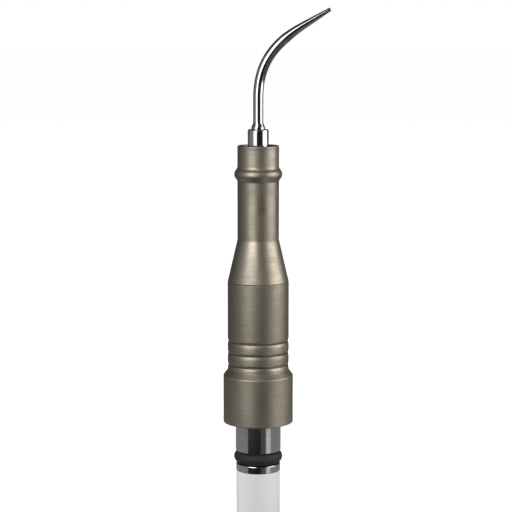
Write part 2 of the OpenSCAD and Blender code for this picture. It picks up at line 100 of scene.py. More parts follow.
@dataclass
class Outline:
    """A turned section of radius, height and rounding in millimetres, walked anticlockwise.

    Attributes:
        corners: One (radius, height, rounding) for each corner.
        closed: Whether the last corner joins the first. An open outline ends on the axis or in
            a rim that is worked on further.
    """

    corners: list[Triple] = field(default_factory=list)
    closed: bool = True

    def to(self, radius: float, height: float, rounding: float = 0.0) -> "Outline":
        """Adds a corner.

        Args:
            radius: Distance from the axis.
            height: Level along the axis.
            rounding: Radius that breaks the corner.

        Returns:
            The outline itself, so that corners can be chained.
        """
        self.corners.append((radius, height, rounding))
        return self

    def arc(
        self, radius: float, height: float, bend: float, start: float, end: float, steps: int = 8
    ) -> "Outline":
        """Adds a round stretch.

        Args:
            radius: Distance of the arc's centre from the axis.
            height: Level of the arc's centre.
            bend: Radius of the arc.
            start: First angle in degrees, 0 pointing away from the axis and 90 up.
            end: Last angle in degrees.
            steps: Number of straight pieces that stand for the arc.

        Returns:
            The outline itself.
        """
        for i in range(steps + 1):
            turn = math.radians(start + (end - start) * i / steps)
            self.to(radius + bend * math.cos(turn), height + bend * math.sin(turn))
        return self

    def points(self) -> list[Triple]:
        """Works the roundings out.

        Returns:
            Points of (radius, height, edge mark). The mark is 1 on a rounded outer corner, -1 in
            a rounded inner corner and 0 elsewhere.
        """
        found: list[Triple] = []
        count = len(self.corners)
        for i, (radius, height, rounding) in enumerate(self.corners):
            here = Vector((radius, height))
            inside = self.closed or 0 < i < count - 1
            if not rounding or not inside:
                found.append((radius, height, 0.0))
                continue
            before = Vector(self.corners[i - 1][:2]) - here
            after = Vector(self.corners[(i + 1) % count][:2]) - here
            found += self._rounded(here, before, after, rounding)
        return found

    @staticmethod
    def _rounded(here: Vector, before: Vector, after: Vector, rounding: float) -> list[Triple]:
        """Rounds one corner, with a close point on each side that keeps the flats flat.

        Args:
            here: The corner.
            before: The way back to the corner before it.
            after: The way on to the next corner.
            rounding: Radius of the arc.

        Returns:
            The arc's points with their edge marks.
        """
        back, on = before.normalized(), after.normalized()
        half = back.angle(on) / 2
        reach = min(rounding / math.tan(half), *(ROUNDING_SHARE * leg.length for leg in (before, after)))
        bend = reach * math.tan(half)
        centre = here + (back + on).normalized() * (bend / math.sin(half))
        first, last = here + back * reach, here + on * reach
        start = math.atan2(first.y - centre.y, first.x - centre.x)
        sweep = math.atan2(last.y - centre.y, last.x - centre.x) - start
        sweep = (sweep + math.pi) % math.tau - math.pi
        steps = max(3, math.ceil(abs(sweep) / ARC_STEP))
        mark = 1.0 if sweep > 0 else -1.0
        hold = HOLD_SHARE * reach
        arc = []
        for i in range(steps + 1):
            turn = start + sweep * i / steps
            arc.append((centre.x + bend * math.cos(turn), centre.y + bend * math.sin(turn), mark))
        lead, tail = first + back * hold, last + on * hold
        return [(lead.x, lead.y, 0.0), *arc, (tail.x, tail.y, 0.0)]


# ---- mesh work ----


def turned(outline: Outline, sides: int = 144) -> BMesh:
    """Turns an outline about Z.

    Args:
        outline: The section, in millimetres.
        sides: Number of facets round the axis.

    Returns:
        A mesh in metres, with the edge marks on its vertices and its faces outward.
    """
    bm = bmesh.new()
    layer = bm.verts.layers.float.new(EDGE)
    walk = []
    for radius, height, mark in outline.points():
        vert = bm.verts.new((radius * MM, 0, height * MM))
        vert[layer] = mark
        walk.append(vert)
    ends = walk[1:] + walk[:1] if outline.closed else walk[1:]
    edges = [bm.edges.new(pair) for pair in zip(walk, ends)]
    bmesh.ops.spin(
        bm, geom=walk + edges, cent=(0, 0, 0), axis=(0, 0, 1), dvec=(0, 0, 0),
        angle=math.tau, steps=sides, use_merge=True, use_duplicate=False,
    )
    bmesh.ops.remove_doubles(bm, verts=bm.verts, dist=MERGE_DISTANCE)
    bmesh.ops.recalc_face_normals(bm, faces=bm.faces)
    return bm


def rod(radius: float, foot: float, top: float, place: Matrix, sides: int = 32) -> BMesh:
    """Makes a plain round cutter.

    Args:
        radius: Its radius in millimetres.
        foot: Its lower end along its own axis, in millimetres.
        top: Its upper end.
        place: Where it stands, in millimetres.
        sides: Facets round it.

    Returns:
        A closed mesh in metres.
    """
    bm = bmesh.new()
    stand = Matrix.Scale(MM, 4) @ place @ Matrix.Translation((0, 0, (foot + top) / 2))
    bmesh.ops.create_cone(
        bm, cap_ends=True, segments=sides, radius1=radius, radius2=radius,
        depth=top - foot, matrix=stand,
    )
    return bm


def block(size: Triple, centre: Triple) -> BMesh:
    """Makes a plain square cutter.

    Args:
        size: Its sides in millimetres.
        centre: Its middle in millimetres.

    Returns:
        A closed mesh in metres.
    """
    bm = bmesh.new()
    stand = Matrix.Scale(MM, 4) @ Matrix.Translation(centre) @ Matrix.Diagonal((*size, 1))
    bmesh.ops.create_cube(bm, size=1, matrix=stand)
    return bm


def shade(bm: BMesh) -> None:
    """Shades a mesh smooth and keeps its real corners sharp."""
    for face in bm.faces:
        face.smooth = True
    for edge in bm.edges:
        edge.smooth = edge.is_manifold and edge.calc_face_angle(0.0) < SHARP_ANGLE


def new_object(name: str, bm: BMesh) -> Object:
    """Turns a bmesh into an object at the origin, and frees the bmesh.

    Args:
        name: Name of the object and of its mesh.
        bm: The mesh, in metres.

    Returns:
        The object, linked to the scene.
    """
    mesh = bpy.data.meshes.new(name)
    bm.to_mesh(mesh)
    bm.free()
    piece = bpy.data.objects.new(name, mesh)
    bpy.context.scene.collection.objects.link(piece)
    return piece


def cut(bm: BMesh, cutters: Iterable[BMesh]) -> BMesh:
    """Takes closed cutters out of a closed mesh.

    Args:
        bm: The mesh to cut, which is freed.
        cutters: The shapes to take away, which are freed too.

    Returns:
        The mesh that is left.
    """
    blank = new_object("blank", bm)
    tools = [new_object("cutter", cutter) for cutter in cutters]
    for tool in tools:
        step = blank.modifiers.new("cut", "BOOLEAN")
        step.operation = "DIFFERENCE"
        step.solver = "EXACT"
        step.object = tool
    bpy.context.view_layer.update()
    left = blank.evaluated_get(bpy.context.evaluated_depsgraph_get()).to_mesh()
    result = bmesh.new()
    result.from_mesh(left)
    for used in [blank, *tools]:
        mesh = used.data
        bpy.data.objects.remove(used)
        bpy.data.meshes.remove(mesh)
    bmesh.ops.remove_doubles(result, verts=result.verts, dist=MERGE_DISTANCE)
    return result


def sweep(bm: BMesh, rim: list[BMEdge], stops: list[Matrix]) -> list[BMEdge]:
    """Draws an open rim out along a row of stops.

    Args:
        bm: The mesh that has the rim.
        rim: Edges of the open rim, which stands at the first stop.
        stops: Placing matrices, in metres, that the rim moves through.

    Returns:
        The edges of the rim at the last stop.
    """
    for here, there in zip(stops, stops[1:]):
        made = bmesh.ops.extrude_edge_only(bm, edges=rim)["geom"]
        fresh = {item for item in made if isinstance(item, BMVert)}
        bmesh.ops.transform(bm, matrix=there @ here.inverted(), verts=list(fresh))
        rim = [
            item for item in made
            if isinstance(item, BMEdge) and fresh.issuperset(item.verts)
        ]
    return rim


# ---- materials ----


def put(tree: NodeTree, kind: str, inputs: Optional[dict] = None, **settings: object) -> Node:
    """Adds a node.

    Args:
        tree: The tree that gets it.
        kind: The node's type name, without the leading ShaderNode.
        inputs: Value or source socket for each named or numbered input.
        settings: Other properties of the node.

    Returns:
        The node.
    """
    node = tree.nodes.new("ShaderNode" + kind)
    for name, value in settings.items():
        setattr(node, name, value)
    for name, value in (inputs or {}).items():
        if isinstance(value, NodeSocket):
            tree.links.new(value, node.inputs[name])
        else:
            node.inputs[name].default_value = value
    return node


def noise(
    tree: NodeTree, place: NodeSocket, scale: object, detail: float = 2.0, **more: float
) -> NodeSocket:
    """Adds a noise texture.

    Args:
        tree: The tree that gets it.
        place: Where it is looked up.
        scale: Its scale, or the socket that gives it.
        detail: How many finer layers it has.
        more: Its other inputs.

    Returns:
        Its value.
    """
    inputs = {"Vector": place, "Scale": scale, "Detail": detail, **more}
    return put(tree, "TexNoise", inputs).outputs[0]


def maths(tree: NodeTree, operation: str, *values: object) -> NodeSocket:
    """Adds a Math node.

    Args:
        tree: The tree that gets it.
        operation: The node's operation.
        values: A number or a source socket for each input.

    Returns:
        Its output socket.
    """
    return put(tree, "Math", dict(enumerate(values)), operation=operation).outputs[0]


def blend(tree: NodeTree, share: object, first: object, second: object) -> NodeSocket:
    """Adds a colour mix.

    Args:
        tree: The tree that gets it.
        share: How much of the second colour shows.
        first: Colour or source socket.
        second: Colour or source socket.

    Returns:
        Its colour output.
    """
    return put(tree, "Mix", {0: share, 6: first, 7: second}, data_type="RGBA").outputs[2]


def spread(
    tree: NodeTree, source: NodeSocket,
    low: float, high: float, to_low: float, to_high: float,
) -> NodeSocket:
    """Maps a value from one range to another, without leaving it.

    Args:
        tree: The tree that gets the node.
        source: The value.
        low: Value that becomes to_low.
        high: Value that becomes to_high.
        to_low: First end of the new range.
        to_high: Second end of the new range.

    Returns:
        The mapped value.
    """
    values = {0: source, 1: low, 2: high, 3: to_low, 4: to_high}
    return put(tree, "MapRange", values).outputs[0]


def rgba(colour: Triple) -> tuple[float, float, float, float]:
    """Returns a colour with full opacity."""
    return (*colour, 1.0)


class Effect(Enum):
    """Surface effects that several finishes share, as node groups."""

    TURNING = "turning_marks"
    GRAIN = "fine_grain"
    CLOUD = "uneven_tone"
    # Wear on outer corners, and grime with painted shade darkening the inner corners.
    WORN_AND_SHADE = "worn_edges_and_corner_shade"
    HANDLING = "handling_scratches"


class Effects:
    """Builds each shared effect once and places it in materials."""

    def __init__(self) -> None:
        """Starts with no group built."""
        self.groups: dict[Effect, NodeTree] = {}

    def place(self, tree: NodeTree, effect: Effect, inputs: dict[str, object]) -> Node:
        """Places an effect in a material.

        Args:
            tree: The material's tree.
            effect: Which effect.
            inputs: Value or source socket for each named input.

        Returns:
            The group node.
        """
        if effect not in self.groups:
            self.groups[effect] = getattr(self, "_" + effect.value)()
        return put(tree, "Group", inputs, node_tree=self.groups[effect])

    @staticmethod
    def _start(
        effect: Effect, numbers: dict[str, float], outputs: Iterable[str]
    ) -> tuple[NodeTree, dict[str, NodeSocket], dict[str, NodeSocket]]:
        """Starts a group.

        Args:
            effect: The effect it is for.
            numbers: Its number inputs with their usual values, after the Vector input.
            outputs: Names of its outputs.

        Returns:
            The group, the sockets that it is given and the sockets that it gives out.
        """
        group = bpy.data.node_groups.new(effect.value, "ShaderNodeTree")
        face = group.interface
        face.new_socket("Vector", in_out="INPUT", socket_type="NodeSocketVector")
        for name, value in numbers.items():
            socket = face.new_socket(name, in_out="INPUT", socket_type="NodeSocketFloat")
            socket.default_value = value
        for name in outputs:
            face.new_socket(name, in_out="OUTPUT", socket_type="NodeSocketFloat")
        given, out = group.nodes.new("NodeGroupInput"), group.nodes.new("NodeGroupOutput")
        return group, dict(given.outputs.items()), dict(out.inputs.items())

    def _turning_marks(self) -> NodeTree:
        """Builds fine rings round Z, as a lathe leaves them.

        Returns:
            A group whose Height and Tone change along the axis and, slowly, round it.
        """
        group, given, out = self._start(
            Effect.TURNING, {"Spacing": 2500.0, "Wander": 0.12}, ["Height", "Tone"]
        )
        part = put(group, "SeparateXYZ", {0: given["Vector"]}).outputs
        squares = [maths(group, "MULTIPLY", part[i], part[i]) for i in (0, 1)]
        radius = maths(group, "SQRT", maths(group, "ADD", *squares))
        drift = [maths(group, "MULTIPLY", part[i], given["Wander"]) for i in (0, 1)]
        across = maths(group, "ADD", radius, drift[0])
        place = put(group, "CombineXYZ", {0: across, 1: drift[1], 2: part[2]}).outputs[0]
        fine = noise(group, place, given["Spacing"], 3.0, Roughness=0.6)
        slow = noise(group, place, maths(group, "MULTIPLY", given["Spacing"], 0.18))
        tone = maths(group, "MULTIPLY_ADD", slow, 0.5, maths(group, "MULTIPLY", fine, 0.5))
        group.links.new(fine, out["Height"])
        group.links.new(tone, out["Tone"])
        return group

    def _fine_grain(self) -> NodeTree:
        """Builds an even fine grain, as of a blasted, moulded or sintered surface.

        Returns:
            A group with a Height and a Speck mask of sparse darker grains.
        """
        group, given, out = self._start(
            Effect.GRAIN, {"Scale": 9000.0, "Specks": 0.3}, ["Height", "Speck"]
        )
        inputs = {name: given[name] for name in ("Vector", "Scale")}
        cells = put(group, "TexVoronoi", inputs).outputs["Color"]
        chance = put(group, "SeparateColor", {0: cells}).outputs[0]
        group.links.new(noise(group, given["Vector"], given["Scale"]), out["Height"])
        group.links.new(maths(group, "LESS_THAN", chance, given["Specks"]), out["Speck"])
        return group

    def _uneven_tone(self) -> NodeTree:
        """Builds soft clouds, as of handling, bath marks or uneven curing.

        Returns:
            A group with a Mask between 0 and 1.
        """
        group, given, out = self._start(Effect.CLOUD, {"Scale": 180.0}, ["Mask"])
        tone = noise(
            group, given["Vector"], given["Scale"], 4.0, Roughness=0.62, Distortion=0.4
        )
        group.links.new(spread(group, tone, 0.3, 0.7, 0.0, 1.0), out["Mask"])
        return group

    def _worn_edges_and_corner_shade(self) -> NodeTree:
        """Builds broken-up wear on outer corners, and grime with painted shade in inner ones, from the
        edge marks.

        Returns:
            A group with a Worn mask and a mask of grime and painted shade for inner corners.
        """
        group, given, out = self._start(
            Effect.WORN_AND_SHADE, {"Edge": 0.0, "Amount": 0.6}, ["Worn", "GrimeAndShade"]
        )
        patches = noise(group, given["Vector"], 1400.0, 4.0)
        broken = spread(group, patches, 0.35, 0.65, 0.35, 1.0)
        # The inner-corner mask darkens hollows where shade would fall: painted shade mixed with grime.
        for name, sign in (("Worn", 1.0), ("GrimeAndShade", -1.0)):
            side = maths(group, "MULTIPLY", given["Edge"], sign)
            level = maths(group, "MULTIPLY", maths(group, "MAXIMUM", side, 0.0), broken)
            group.links.new(maths(group, "MULTIPLY", level, given["Amount"]), out[name])
        return group

    def _handling_scratches(self) -> NodeTree:
        """Builds sparse hairline scratches in two directions.

        Returns:
            A group with a Mask that is 1 in a scratch.
        """
        group, given, out = self._start(
            Effect.HANDLING, {"Scale": 260.0, "Width": 0.02}, ["Mask"]
        )
        lines = []
        for turn, stretch in ((0.5, 0.12), (-0.9, 0.2)):
            placing = {
                "Vector": given["Vector"], "Rotation": (turn, 0.4, turn),
                "Scale": (1.0, stretch, stretch),
            }
            cells = {
                "Vector": put(group, "Mapping", placing).outputs[0], "Scale": given["Scale"],
                "Randomness": 1.0,
            }
            cell = put(group, "TexVoronoi", cells, feature="DISTANCE_TO_EDGE")
            lines.append(
                maths(group, "LESS_THAN", cell.outputs["Distance"], given["Width"])
            )
        gaps = spread(group, noise(group, given["Vector"], 420.0), 0.5, 0.62, 0.0, 1.0)
        both = maths(group, "MAXIMUM", *lines)
        group.links.new(maths(group, "MULTIPLY", both, gaps), out["Mask"])
        return group


@dataclass
class Canvas:
    """A material while it is being built.

    Attributes:
        tree: Its node tree.
        shader: Its shader node.
        effects: The shared effects.
        place: Object coordinates.
    """

    tree: NodeTree
    shader: Node
    effects: Effects
    place: NodeSocket

    def effect(self, effect: Effect, **inputs: object) -> dict[str, NodeSocket]:
        """Places a shared effect.

        Args:
            effect: Which effect.
            inputs: Its inputs besides the coordinates.

        Returns:
            Its outputs by name.
        """
        node = self.effects.place(self.tree, effect, {"Vector": self.place, **inputs})
        return dict(node.outputs.items())

    def surface(self, roughness: NodeSocket, height: NodeSocket) -> None:
        """Feeds the shader's roughness and, through a bump, its normal.

        Args:
            roughness: How matt the surface is.
            height: Its height in metres.
        """
        self.tree.links.new(roughness, self.shader.inputs["Roughness"])
        bump = put(self.tree, "Bump", {"Height": height, "Strength": 1.0, "Distance": 1.0})
        self.tree.links.new(bump.outputs[0], self.shader.inputs["Normal"])


@dataclass(frozen=True)
class Finish:
    """What every finish has.

    Attributes:
        name: Name of the material.
        colour: Main colour, linear.
        roughness: How matt the surface is.
        edge_colour: Colour of worn outer corners.
        grime_and_shade_colour: Colour of the grime and painted shade that darken inner corners, and of a
            moulded finish's darker specks.
        wear_and_shade: Strength of both, the wear on outer corners and the grime with painted shade in
            inner ones.
        cloud: How far soft clouds change the tone.
    """

    name: str
    colour: Triple
    roughness: float
    edge_colour: Triple
    grime_and_shade_colour: Triple
    wear_and_shade: float = 0.4
    cloud: float = 0.12

    def material(self, effects: Effects) -> Material:
        """Builds the material.

        Args:
            effects: The shared effects.

        Returns:
            The finished material.
        """
        made = bpy.data.materials.new(self.name)
        made.use_nodes = True
        made.diffuse_color = rgba(self.colour)
        tree = made.node_tree
        shader = tree.nodes["Principled BSDF"]
        shader.inputs["Roughness"].default_value = self.roughness
        place = put(tree, "TexCoord").outputs["Object"]
        canvas = Canvas(tree, shader, effects, place)
        cloud = canvas.effect(Effect.CLOUD)["Mask"]
        dull = tuple(value * (1 - self.cloud) for value in self.colour)
        colour = blend(tree, cloud, rgba(self.colour), rgba(dull))
        mark = put(tree, "Attribute", attribute_name=EDGE).outputs["Fac"]
        # Outer corners get wear; inner corners get grime mixed with painted shade, darkened where shade
        # would fall.
        wear_and_shade = canvas.effect(Effect.WORN_AND_SHADE, Edge=mark, Amount=self.wear_and_shade)
        colour = self.detail(canvas, cloud, colour)
        colour = blend(tree, wear_and_shade["Worn"], colour, rgba(self.edge_colour))
        # Grime and painted shade darken the inner corners.
        colour = blend(tree, wear_and_shade["GrimeAndShade"], colour, rgba(self.grime_and_shade_colour))
        tree.links.new(colour, shader.inputs["Base Color"])
        return made

    def detail(self, canvas: Canvas, cloud: NodeSocket, colour: NodeSocket) -> NodeSocket:
        """Adds what is special to a kind of finish.

        Args:
            canvas: The material so far.
            cloud: The soft cloud mask.
            colour: The colour so far.

        Returns:
            The colour after the detail.
        """
        return colour


@dataclass(frozen=True)
class TurnedMetal(Finish):
    """Metal from a lathe: rings round the axis, hairline scratches and, if blasted, a grain.

    Attributes:
        ring_depth: Depth of the turning marks in metres.
        ring_tone: How far the marks change the tone.
        spacing: How many marks to a metre.
        grain_depth: Depth of the blasted grain in metres.
        grain_tone: How far the grain changes the tone.
        scratch: How far scratches lighten the surface.
    """

    ring_depth: float = 1.2e-6
    ring_tone: float = 0.1
    spacing: float = 2600.0
    grain_depth: float = 0.0
    grain_tone: float = 0.0
    scratch: float = 0.15

    def detail(self, canvas: Canvas, cloud: NodeSocket, colour: NodeSocket) -> NodeSocket:
        """Adds the metal's marks. Args and Returns are those of Finish.detail."""
        tree = canvas.tree
        canvas.shader.inputs["Metallic"].default_value = 1.0
        marks = canvas.effect(Effect.TURNING, Spacing=self.spacing)
        tone = spread(tree, marks["Tone"], 0.3, 0.7, 0.0, self.ring_tone)
        dark = rgba(tuple(value * 0.35 for value in self.colour))
        colour = blend(tree, tone, colour, dark)
        shine = maths(tree, "MULTIPLY", canvas.effect(Effect.HANDLING)["Mask"], self.scratch)
        light = rgba(tuple(min(1.0, value * 1.5) for value in self.colour))
        colour = blend(tree, shine, colour, light)
        low, high = self.roughness * 0.88, self.roughness * 1.15
        rough = spread(tree, cloud, 0.0, 1.0, low, high)
        rough = maths(tree, "MULTIPLY_ADD", tone, 0.35, rough)
        height = maths(tree, "MULTIPLY", marks["Height"], self.ring_depth)
        if self.grain_depth:
            grain = canvas.effect(Effect.GRAIN, Scale=4200.0)["Height"]
            height = maths(tree, "MULTIPLY_ADD", grain, self.grain_depth, height)
            speckle = spread(tree, grain, 0.38, 0.62, 0.0, self.grain_tone)
            colour = blend(tree, speckle, colour, dark)
        canvas.surface(rough, height)
        return colour


@dataclass(frozen=True)
class Moulded(Finish):
    """Rubber, plastic, ceramic or film: a fine grain with sparse specks.

    Attributes:
        grain_depth: Depth of the grain in metres.
        grain_scale: How many grains to a metre.
        speck_share: Share of the grains that are darker.
        speck_tone: How much darker they are.
        sheen: Strength of a soft dusty sheen.
        coat: Strength of a clear coat.
        clear: How much light goes straight through.
        scatter: How much light spreads under the surface.
    """

    grain_depth: float = 1e-6
    grain_scale: float = 7000.0
    speck_share: float = 0.2
    speck_tone: float = 0.06
    sheen: float = 0.0
    coat: float = 0.0
    clear: float = 0.0
    scatter: float = 0.0

    def detail(self, canvas: Canvas, cloud: NodeSocket, colour: NodeSocket) -> NodeSocket:
        """Adds the grain. Args and Returns are those of Finish.detail."""
        tree = canvas.tree
        plain = {
            "Sheen Weight": self.sheen, "Coat Weight": self.coat, "Coat Roughness": 0.08,
            "Transmission Weight": self.clear, "Subsurface Weight": self.scatter,
            "Subsurface Scale": 0.001, "IOR": 1.48,
        }
        for name, value in plain.items():
            canvas.shader.inputs[name].default_value = value
        grain = canvas.effect(Effect.GRAIN, Scale=self.grain_scale, Specks=self.speck_share)
        speck = maths(tree, "MULTIPLY", grain["Speck"], self.speck_tone)
        rough = spread(tree, cloud, 0.0, 1.0, self.roughness * 0.9, self.roughness * 1.12)
        canvas.surface(rough, maths(tree, "MULTIPLY", grain["Height"], self.grain_depth))
        return blend(tree, speck, colour, rgba(self.grime_and_shade_colour))


# Near-black colour of the grime and painted shade in the inner corners of metal pieces.
DARK_GRIME_AND_SHADE = (0.02, 0.018, 0.015)
PALE_METAL = (0.72, 0.70, 0.66)

# The fifth colour of each finish darkens its inner corners: grime and painted shade.
FINISHES: dict[str, Finish] = {
    "casing_metal": TurnedMetal(
        "champagne_casing", (0.51, 0.460, 0.378), 0.38, (0.68, 0.62, 0.54), (0.05, 0.045, 0.036),
        wear_and_shade=0.3, cloud=0.1, ring_depth=1.6e-6, ring_tone=0.42, spacing=2200.0,
        grain_depth=1.2e-6, grain_tone=0.2, scratch=0.08,
    ),
    "polished_steel": TurnedMetal(
        "polished_spigot", (0.62, 0.62, 0.63), 0.12, (0.8, 0.8, 0.8), DARK_GRIME_AND_SHADE,
        wear_and_shade=0.3, cloud=0.08, ring_depth=0.15e-6, ring_tone=0.12, scratch=0.2,
    ),
    "tip_steel": TurnedMetal(
        "polished_tip", (0.58, 0.58, 0.59), 0.10, (0.82, 0.82, 0.82), DARK_GRIME_AND_SHADE,
        wear_and_shade=0.15, cloud=0.03, ring_depth=0.005e-6, ring_tone=0.02, scratch=0.04,
    ),
    "black_rubber": Moulded(
        "seal_rubber", (0.018, 0.018, 0.019), 0.62, (0.05, 0.05, 0.05), (0.008, 0.008, 0.008),
        wear_and_shade=0.3, cloud=0.25, grain_depth=2e-6, grain_scale=5000.0, sheen=0.04,
    ),
    "pale_insulator": Moulded(
        "pale_insulator", (0.84, 0.84, 0.835), 0.5, (0.86, 0.86, 0.86), (0.5, 0.48, 0.44),
        wear_and_shade=0.25, cloud=0.03, grain_depth=1.2e-6, speck_tone=0.03, scatter=0.15,
    ),
    "titanium": TurnedMetal(
        "turned_titanium", (0.42, 0.41, 0.40), 0.3, PALE_METAL, DARK_GRIME_AND_SHADE,
        ring_depth=2e-6, ring_tone=0.2, spacing=2200.0,
    ),
    "piezo_ceramic": Moulded(
        "piezo_ceramic", (0.30, 0.26, 0.20), 0.55, (0.5, 0.46, 0.4), (0.12, 0.10, 0.07),
        grain_depth=2e-6, grain_scale=12000.0, speck_share=0.3, speck_tone=0.35,
    ),
    "beryllium_copper": TurnedMetal(
        "spring_copper", (0.72, 0.42, 0.24), 0.28, (0.9, 0.66, 0.5), DARK_GRIME_AND_SHADE,
        cloud=0.3, ring_depth=0.3e-6, scratch=0.3,
    ),
    "gold_plate": TurnedMetal(
        "gold_plate", (0.85, 0.62, 0.22), 0.16, (0.95, 0.8, 0.45), (0.2, 0.12, 0.03),
        ring_depth=0.6e-6, ring_tone=0.12,
    ),
    "amber_film": Moulded(
        "amber_film", (0.60, 0.28, 0.04), 0.22, (0.8, 0.45, 0.1), (0.25, 0.1, 0.02),
        cloud=0.2, grain_depth=0.4e-6, coat=0.6, clear=0.35,
    ),
    "white_plastic": Moulded(
        "white_sleeve", (0.80, 0.79, 0.74), 0.45, (0.86, 0.86, 0.84), (0.5, 0.48, 0.42),
        speck_tone=0.04, scatter=0.2,
    ),
    "clear_hose": Moulded(
        "clear_hose", (0.82, 0.86, 0.88), 0.25, (0.9, 0.92, 0.93), (0.6, 0.6, 0.58),
        grain_depth=0.6e-6, clear=0.7, coat=0.2,
    ),
    "bolt_steel": TurnedMetal(
        "machined_steel", (0.50, 0.50, 0.51), 0.25, PALE_METAL, DARK_GRIME_AND_SHADE,
        ring_depth=1.6e-6, ring_tone=0.2, spacing=2400.0,
    ),
    "red_lead": Moulded(
        "red_lead", (0.55, 0.03, 0.02), 0.38, (0.7, 0.1, 0.08), (0.2, 0.01, 0.01),
        grain_depth=0.8e-6, coat=0.15,
    ),
    "black_lead": Moulded(
        "black_lead", (0.03, 0.03, 0.035), 0.38, (0.08, 0.08, 0.09), (0.01, 0.01, 0.01),
        grain_depth=0.8e-6, coat=0.15,
    ),
    "nut_brass": TurnedMetal(
        "turned_brass", (0.72, 0.55, 0.26), 0.24, (0.9, 0.78, 0.5), DARK_GRIME_AND_SHADE,
        ring_depth=1.6e-6, ring_tone=0.18,
    ),
}


class Paintbox:
    """Builds each finish the first time that it is asked for."""

    def __init__(self) -> None:
        """Starts with no material built."""
        self.effects = Effects()
        self.made: dict[str, Material] = {}

    def material(self, slot: str) -> Material:
        """Returns the material for one of the record's material slots."""
        if slot not in self.made:
            self.made[slot] = FINISHES[slot].material(self.effects)
        return self.made[slot]

    def dress(self, piece: Object, slot: str) -> None:
        """Gives an object one finish all over."""
        piece.data.materials.clear()
        piece.data.materials.append(self.material(slot))


def bare_material(name: str, piece: Object) -> NodeTree:
    """Gives a studio piece a material that has no shader yet.

    Args:
        name: Name of the material.
        piece: The studio piece.

    Returns:
        The material's empty tree.
    """
    made = bpy.data.materials.new(name)
    made.use_nodes = True
    made.node_tree.nodes.clear()
    piece.data.materials.append(made)
    return made.node_tree


def stand_in(bm: BMesh, node: str, body: str, slot: str, paints: Paintbox) -> Object:
    """Finishes a new piece that stands for a CAD node.

    Args:
        bm: Its mesh, in metres.
        node: The CAD node that it replaces.
        body: The body that it rides on.
        slot: The record's material slot.
        paints: The finishes.

    Returns:
        The finished piece.
    """
    shade(bm)
    piece = new_object("fine_" + node, bm)
    paints.dress(piece, slot)
    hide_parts(node)
    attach(piece, body)
    log.info("%s: %d faces, %s", piece.name, len(piece.data.polygons), slot)
    return piece


# ---- casing ----


